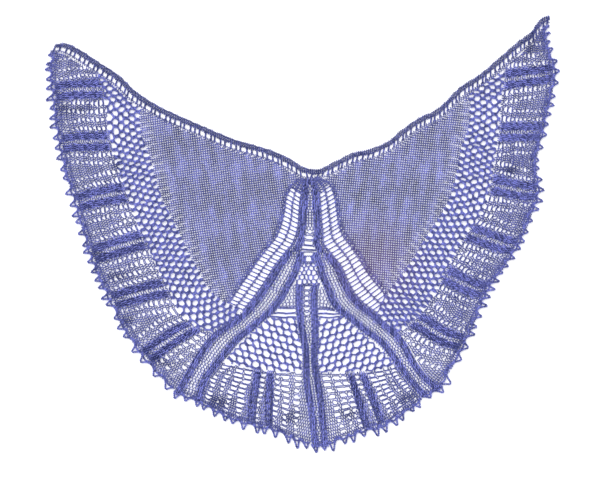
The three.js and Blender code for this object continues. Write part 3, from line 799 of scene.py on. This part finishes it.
def lay_hem(yarns, place):
    """Lays the bound-off edge: two ropes that run out and back at each picot, and a chain under them."""
    along = np.linspace(0, 1, 900)
    picots = max(2, round(running_length(place(along, 1))[-1] / PICOT_PITCH))
    rng = np.random.default_rng(picots)
    middles = (np.arange(picots) + 0.5 + rng.uniform(-0.2, 0.2, picots)) / picots
    sizes = rng.uniform(0.6, 1.0, picots)
    for shape in (PICOT_OUTSIDE, PICOT_INSIDE):
        ways = np.concatenate([[middle + step / picots for step, _ in shape] for middle in middles])
        out = np.concatenate([[way * size for _, way in shape] for size in sizes])
        line = place(np.clip(ways, 0, 1), out)
        lay_rope(yarns, smooth(line, 4), radius=HEM_YARN, rise=HEM_LIFT)
    lay_course(yarns, place(along, -0.5), pitch=5.2, swing=2.4, radius=0.9, rise=HEM_LIFT)


def patch_hem(patch):
    """Places of a hem along a patch's far side, by ways along it and out to the picots' tips."""
    return lambda along, out: patch.at(along, HEM_SHARE + (1 - HEM_SHARE) * np.asarray(out))


def end_hem(patch, share):
    """Places of a hem along a patch's last rung, by the same ways."""
    return lambda along, out: patch.at(share + (1 - share) * np.asarray(out), along)


def knit_ladder(yarns, side, seams):
    """Two columns of rungs between chains of stitches, closed at the top, fringed into the wing."""
    ladder = Patch(evenly(seams["ladder_inner"], 400), evenly(seams["ladder_outer"], 400))
    along = np.linspace(0, 1, 400)
    beat = np.cos(math.tau * (along * LADDER_RUNGS - 0.5))
    for across, spread in LADDER_CHAINS:
        for turn in (-1, 1):
            lay_course(
                yarns, ladder.at(along, across), pitch=4.2, swing=0.9, radius=0.8, rise=0.4,
                aside=turn * (spread + 1.3 * beat),
            )
    for across in np.linspace(0.1, 0.9, 5):
        lay_course(yarns, ladder.at(np.linspace(0, LADDER_OPENS, 40), across))
    rng = np.random.default_rng(7)
    top_drop, foot_drop = LADDER_DROP[side]
    shares = np.linspace(0, 1, 8)
    for rung in range(LADDER_RUNGS):
        middle = (rung + 0.5) / LADDER_RUNGS
        if middle < LADDER_OPENS:
            continue
        drop = (top_drop + (foot_drop - top_drop) * middle) / LADDER_RUNGS
        for start, shift in ((0.0, 0.12), (0.5, -0.12)):
            way = start + 0.5 * shares
            place = middle + drop * way + (shift + rng.uniform(-0.1, 0.1)) / LADDER_RUNGS
            lay_rope(yarns, ladder.at(np.clip(place, 0, 1), way), **LADDER_ROPE)
        lay_fringe(yarns, ladder, middle + drop)


def lay_fringe(yarns, ladder, end):
    """Lays three short yarns from a rung's outer end, which fan out into the wing."""
    shares = np.linspace(0, 1, 5)
    for fan in (-0.3, 0.1, 0.5):
        place = end + (-0.3 + fan * shares) / LADDER_RUNGS
        line = ladder.at(np.clip(place, 0, 1), 0.96 + 0.24 * shares)
        yarns.add(np.column_stack([line, np.full(5, 1.6)]), 0.75, np.full(5, WING_TONE))


def lay_rib_pair(yarns, patch, look, count, end, crest, half):
    """Lays courses across a patch, with a rib along each side.

    The look gives, at a share of the length, how open the middle is and how far it floats as rungs.
    """
    shares = np.linspace(0, 1, 120)
    along = np.linspace(0, end, count)
    swing = LOOP_REACH * running_length(patch.at(along, 0.5))[-1] / count
    width = np.linalg.norm(patch.at(along, 1) - patch.at(along, 0), axis=1)
    ways = [crest + np.clip(way / width, -crest, crest) for way in RIB_BACKING]
    lay_backing(yarns, [patch.at(along, way) for way in ways])
    lay_backing(yarns, [patch.at(along, 1 - way) for way in ways])
    for course in range(count):
        along = end * (course + 0.5) / count
        line = patch.rung(along)
        width = running_length(line)[-1]
        edge = blotch(line, 3, 72)
        near = np.minimum(shares, 1 - shares)
        rib = 1 - step_up(np.abs(near - crest) * width / half + 0.5 * edge, 0.6, 1.2)
        patches, fine = blotch(line, 3.2, 70), blotch(line, 1.7, 71)
        openness, pairing = look(along)
        opened = step_up((near - crest) * width / half + 0.4 * edge, 1.0, 1.5) * openness
        loose = opened * (1 - pairing)
        floating = opened * pairing
        pitch = STITCH - (STITCH - RIB_PITCH) * rib + LOOSE_PITCH * loose
        radius = (YARN + (RIB_YARN - YARN) * rib) * (1 + 0.15 * fine)
        lay_course(
            yarns, line,
            pitch=pitch * (1 - floating**2) + FLOAT * floating**2,
            swing=(swing + 0.3 * fine) * (1 - floating),
            aside=0.4 * fine + (1 if course % 2 == 0 else -1) * 1.5 * floating,
            rise=RIB_RISE * rib * (1 + 0.4 * patches) + 0.3 * fine,
            radius=radius * (1 - LOOSE_THIN * loose),
            tone=rib_tone(rib, patches, fine),
        )


def knit_spine(yarns, left, right):
    """Two ribs from the neck down, with pinholes between them that widen to rungs."""
    spine = Patch(left["spine_side"], right["spine_side"])

    def look(along):
        openness = 0.4 * step_up(along, 0.08, 0.2) + 0.6 * step_up(along, 0.5, 0.7)
        return openness, step_up(along, 0.6, 0.75)

    lay_rib_pair(yarns, spine, look, **SPINE_PAIR)


def knit_centre(yarns, left, right):
    """The diamond of small holes and the centre rib pair down to the hem."""
    centre = Patch(evenly(left["centre_side"], 400), evenly(right["centre_side"], 400))
    lower = np.linspace(DIAMOND_SHARE, 1, 400)
    below = Patch(sample(centre.near, lower), sample(centre.far, lower))

    def look(along):
        return 1 - 0.5 * step_up(along, 0.2, 0.4), 1 - step_up(along, 0.1, 0.3)

    lay_rib_pair(yarns, below, look, **CENTRE_PAIR)
    lay_diamond(yarns, centre)
    lay_hem(yarns, end_hem(centre, CENTRE_PAIR["end"]))


def lay_diamond(yarns, centre):
    """Lays the small net, the rows over and under it, and the posts between the open rungs above it."""
    shares = np.linspace(DIAMOND_START, DIAMOND_SHARE, 60)
    outline = np.vstack([centre.at(shares, 0), centre.at(shares, 1)[::-1]])
    rail = straight(centre.at(DIAMOND_START, 0), centre.at(DIAMOND_START, 1), 50)
    lay_net(yarns, Offset(rail, -1), outline, DIAMOND_NET)
    for row in DIAMOND_ROWS:
        lay_course(yarns, centre.rung(row), pitch=4.4, swing=1.6, radius=1)
    for across in DIAMOND_POSTS:
        lay_rope(yarns, centre.at(np.linspace(*POST_ENDS, 6), across), radius=1)


def knit_diagonal(yarns, side, seams):
    """A pair of ribs with loose stitches between them, from the spine's foot to the hem."""
    outer = np.vstack([seams["diagonal_top"], seams["mesh_end"][1:], seams["border_end"][1:]])
    inner = np.vstack([
        seams["diamond_side"], seams["fan_outside"], seams["net_outside"][1:],
        seams["bottom_outside"][1:],
    ])
    diagonal = Patch(evenly(outer, 400), evenly(inner, 400))

    def look(along):
        return step_up(along, 0.02, 0.08), 0

    lay_rib_pair(yarns, diagonal, look, **DIAGONAL_PAIR)
    lay_hem(yarns, end_hem(diagonal, DIAGONAL_PAIR["end"]))


def knit_fan(yarns, side, seams):
    """Fine courses between a diagonal and the centre ribs, with two wide gaps below them."""
    fan = Patch(seams["fan_outside"], seams["fan_inside"])
    for row in np.linspace(FAN_START, FAN_GAPS[0][0], FAN_COURSES):
        lay_course(yarns, fan.rung(row), pitch=7.4, swing=3.9, radius=0.95)
    for gap in FAN_GAPS:
        for row in gap:
            line = fan.rung(row)
            lay_rope(yarns, line + 1.2 * blotch(line, 9, 90)[:, None], radius=0.8, rise=0.4)


def knit_open_net(yarns, side, seams):
    """The open net of staggered round holes under a fan."""
    outline = np.vstack([
        seams["net_outside"], seams["net_foot"], seams["net_inside"][::-1],
        straight(seams["net_inside"][0], seams["net_outside"][0], 40),
    ])
    rail = straight(seams["net_outside"][0], seams["net_outside"][-1], 100)
    field = Offset(rail, -TURN[side])
    lay_net(yarns, field, outline, OPEN_NET)


def knit_bottom(yarns, side, seams):
    """The bottom border with its own rib pair, ladders on both sides and picots."""
    bottom = Patch(
        evenly(seams["net_foot"], 300),
        seams["bottom_hem"][np.linspace(0, 199, 300).astype(int)],
        first=seams["bottom_outside"],
        last=seams["bottom_inside"],
    )
    shares = np.linspace(0, 1, 300)
    for course in range(BOTTOM_COURSES):
        across = (course + 0.5) / BOTTOM_COURSES * HEM_SHARE
        line = bottom.course(across, 300)
        place = shares + 0.015 * blotch(line, 20, 60)
        profile = zone_profile(line, BOTTOM_ZONES, place, across, course)
        lay_course(yarns, line, aside=TURN[side] * profile.pop("pairing"), **profile)
    across = np.linspace(0.05, 0.84, 30)
    lay_backing(yarns, [bottom.at(np.full(30, along), across) for along in BOTTOM_BACKING])
    lay_hem(yarns, patch_hem(bottom))


def knit_band(yarns, side, seams):
    """The garter band along the neck edge, with a row of eyelets under its ridges."""
    edge, foot = evenly(seams["top_edge"], 900), evenly(seams["band_foot"], 900)
    band = Patch(edge, foot)
    width = np.linalg.norm(foot - edge, axis=1)
    shares = np.linspace(0, 1, 900)
    for depth, swing, rise in BAND_COURSES:
        # Where the band tapers to a point, its courses draw together
        line = band.at(shares, np.minimum(depth / width, 0.5 * depth / BAND_DEPTH + 0.05))
        patches, fine = blotch(line, 5, 80), blotch(line, 1.7, 81)
        lay_course(
            yarns, line, pitch=4.4, swing=swing * (1 + 0.25 * fine), rise=rise + 0.4 * patches,
            aside=1.2 * patches, radius=1.1, tone=BAND_TONE + 0.12 * patches + 0.25 * fine,
        )
    under = np.minimum(EYELET_DEPTH / width, 0.95)
    for extra in EYELET_FOOT:
        across = under + extra / width
        line = band.at(shares, np.minimum(across, 0.97))[across < 0.98]
        if len(line):
            lay_course(yarns, line, pitch=5.4, swing=2.3, radius=0.9, rise=0.3)
    lay_webs(yarns, band, running_length(foot)[-1], width, under)


def lay_webs(yarns, band, total, width, under):
    """Lays two leaning ropes between each two eyelets."""
    shares = np.linspace(0, 1, 900)
    webs = round(total / EYELET_PITCH)
    lean = EYELET_LEAN / total
    rng = np.random.default_rng(3)
    for web in range(webs):
        along = (web + 0.5 + rng.uniform(-0.2, 0.2)) / webs
        across = np.array([
            min(BAND_DEPTH / np.interp(along, shares, width), 0.55), np.interp(along, shares, under),
        ])
        for shift in (-0.9, 0.9):
            ends = band.at(np.array([along - lean, along + lean]) + shift / total, across)
            lay_rope(yarns, straight(*ends, 5), radius=0.9, twist=8, rise=0.4, tone=BAND_TONE + 0.12)


def set_inputs(node, values):
    """Sets a node's inputs by name."""
    for name, value in values.items():
        node.inputs[name].default_value = value


def wool():
    """Heathered wool: a tone from the knitting, broken up by patches and fine fibres."""
    made = bpy.data.materials.new("wool")
    made.use_nodes = True
    nodes, links = made.node_tree.nodes, made.node_tree.links
    shader = nodes["Principled BSDF"]
    set_inputs(shader, WOOL_SURFACE)
    place = nodes.new("ShaderNodeTexCoord").outputs["Object"]
    colour = add_blush(nodes, links, place, heathered(nodes, links, place))
    links.new(colour, shader.inputs["Base Color"])
    relief = nodes.new("ShaderNodeBump")
    set_inputs(relief, FIBRE_RELIEF)
    links.new(noise(nodes, links, place, FIBRE_SCALE), relief.inputs["Height"])
    links.new(relief.outputs["Normal"], shader.inputs["Normal"])
    return made


def noise(nodes, links, place, scale):
    """Cloudy noise over the places."""
    made = nodes.new("ShaderNodeTexNoise")
    set_inputs(made, {"Scale": scale, "Detail": 2})
    links.new(place, made.inputs["Vector"])
    return made.outputs["Fac"]


def heathered(nodes, links, place):
    """The colour for the yarn's tone, once noises of several sizes have shifted the tone."""
    tone = nodes.new("ShaderNodeAttribute")
    tone.attribute_name = "tone"
    summed = tone.outputs["Fac"]
    for scale, size in HEATHER:
        part = nodes.new("ShaderNodeMath")
        part.operation = "MULTIPLY_ADD"
        part.inputs[1].default_value = size
        links.new(noise(nodes, links, place, scale), part.inputs[0])
        links.new(summed, part.inputs[2])
        lowered = nodes.new("ShaderNodeMath")
        lowered.operation = "SUBTRACT"
        lowered.inputs[1].default_value = size / 2
        links.new(part.outputs[0], lowered.inputs[0])
        summed = lowered.outputs[0]
    ramp = nodes.new("ShaderNodeValToRGB")
    stops = ramp.color_ramp.elements
    stops[0].color = WOOL_DARK
    stops[1].color = WOOL_LIGHT
    stops.new(0.5).color = WOOL_MIDDLE
    links.new(summed, ramp.inputs["Fac"])
    return ramp.outputs["Color"]


def add_blush(nodes, links, place, colour):
    """The colour with the mauve patch mixed in, which fades out from its middle."""
    reach = nodes.new("ShaderNodeVectorMath")
    reach.operation = "DISTANCE"
    reach.inputs[1].default_value = (*BLUSH_PLACE, 0)
    links.new(place, reach.inputs[0])
    blush = nodes.new("ShaderNodeMapRange")
    set_inputs(blush, BLUSH_FADE)
    links.new(reach.outputs["Value"], blush.inputs["Value"])
    mixed = nodes.new("ShaderNodeMix")
    mixed.data_type = "RGBA"
    links.new(blush.outputs["Result"], mixed.inputs["Factor"])
    links.new(colour, mixed.inputs["A"])
    mixed.inputs["B"].default_value = BLUSH_COLOUR
    return mixed.outputs["Result"]


def add_piece(name, make, seams, material, nodes):
    """A piece of knitting that takes the place of the solids with the given nodes."""
    yarns = Yarns()
    make(yarns, *seams)
    piece = bpy.data.objects.new(name, yarns.mesh(name))
    bpy.context.scene.collection.objects.link(piece)
    piece.data.materials.append(material)
    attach(piece, "root")
    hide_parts(*nodes)
    return piece


def dress_half(side, seams, material):
    """Every knitted piece of one half, by its section."""
    border_nodes = [f"border_{side}_{number}" for number in range(1, 7)]
    band_nodes = [f"top_band_{side}_{number}" for number in range(1, 4)]
    makers = {
        "wing": (knit_wing, "plain_knit", [f"wing_{side}"]),
        "side_net": (knit_side_net, "open_lace", [f"side_net_{side}"]),
        "border": (knit_border, "ribbed_lace", border_nodes),
        "ladder": (knit_ladder, "open_lace", [f"double_ladder_{side}"]),
        "diagonal": (knit_diagonal, "ribbed_lace", [f"diagonal_ribs_{side}"]),
        "fan": (knit_fan, "open_lace", [f"fan_{side}"]),
        "open_net": (knit_open_net, "open_lace", [f"open_net_{side}"]),
        "bottom": (knit_bottom, "ribbed_lace", [f"bottom_border_{side}"]),
        "band": (knit_band, "garter_band", band_nodes),
    }
    return {
        section: add_piece(f"knit_{section}_{side}", make, (side, seams), material, nodes)
        for section, (make, slot, nodes) in makers.items()
    }


def add_stage():
    """A plain pale floor, soft light from all round and one large soft sun."""
    bpy.ops.mesh.primitive_plane_add(size=20, location=(0, 0, -0.0005))
    floor = bpy.context.object
    floor.name = "floor"
    paint = bpy.data.materials.new("floor_paint")
    paint.use_nodes = True
    set_inputs(paint.node_tree.nodes["Principled BSDF"], FLOOR_PAINT)
    floor.data.materials.append(paint)
    world = bpy.data.worlds.new("studio")
    world.use_nodes = True
    set_inputs(world.node_tree.nodes["Background"], SKY)
    bpy.context.scene.world = world
    lamp = bpy.data.lights.new("soft_sun", "SUN")
    lamp.energy = 1.5
    lamp.angle = math.radians(35)
    sun = bpy.data.objects.new("soft_sun", lamp)
    sun.rotation_euler = (math.radians(-28), math.radians(-24), 0)
    bpy.context.scene.collection.objects.link(sun)


def add_camera():
    """The camera straight above the shawl."""
    lens = bpy.data.cameras.new("camera")
    lens.sensor_width = 36
    lens.lens = lens.sensor_width * CAMERA_HEIGHT / VIEW_WIDTH
    lens.clip_end = 50
    camera = bpy.data.objects.new("camera", lens)
    camera.location = (*VIEW_CENTRE, CAMERA_HEIGHT)
    bpy.context.scene.collection.objects.link(camera)
    bpy.context.scene.camera = camera
    bpy.context.scene.view_settings.view_transform = "Standard"


add_camera()
add_stage()
wool_material = wool()
halves = {"left": seams_of(LEFT_SEAMS), "right": seams_of(RIGHT_SEAMS)}
dressed = {side: dress_half(side, seams, wool_material) for side, seams in halves.items()}
both = (halves["left"], halves["right"])
spine = add_piece("knit_spine", knit_spine, both, wool_material, ["spine"])
centre = add_piece("knit_centre", knit_centre, both, wool_material, ["centre_ribs"])

bpy.context.view_layer.update()
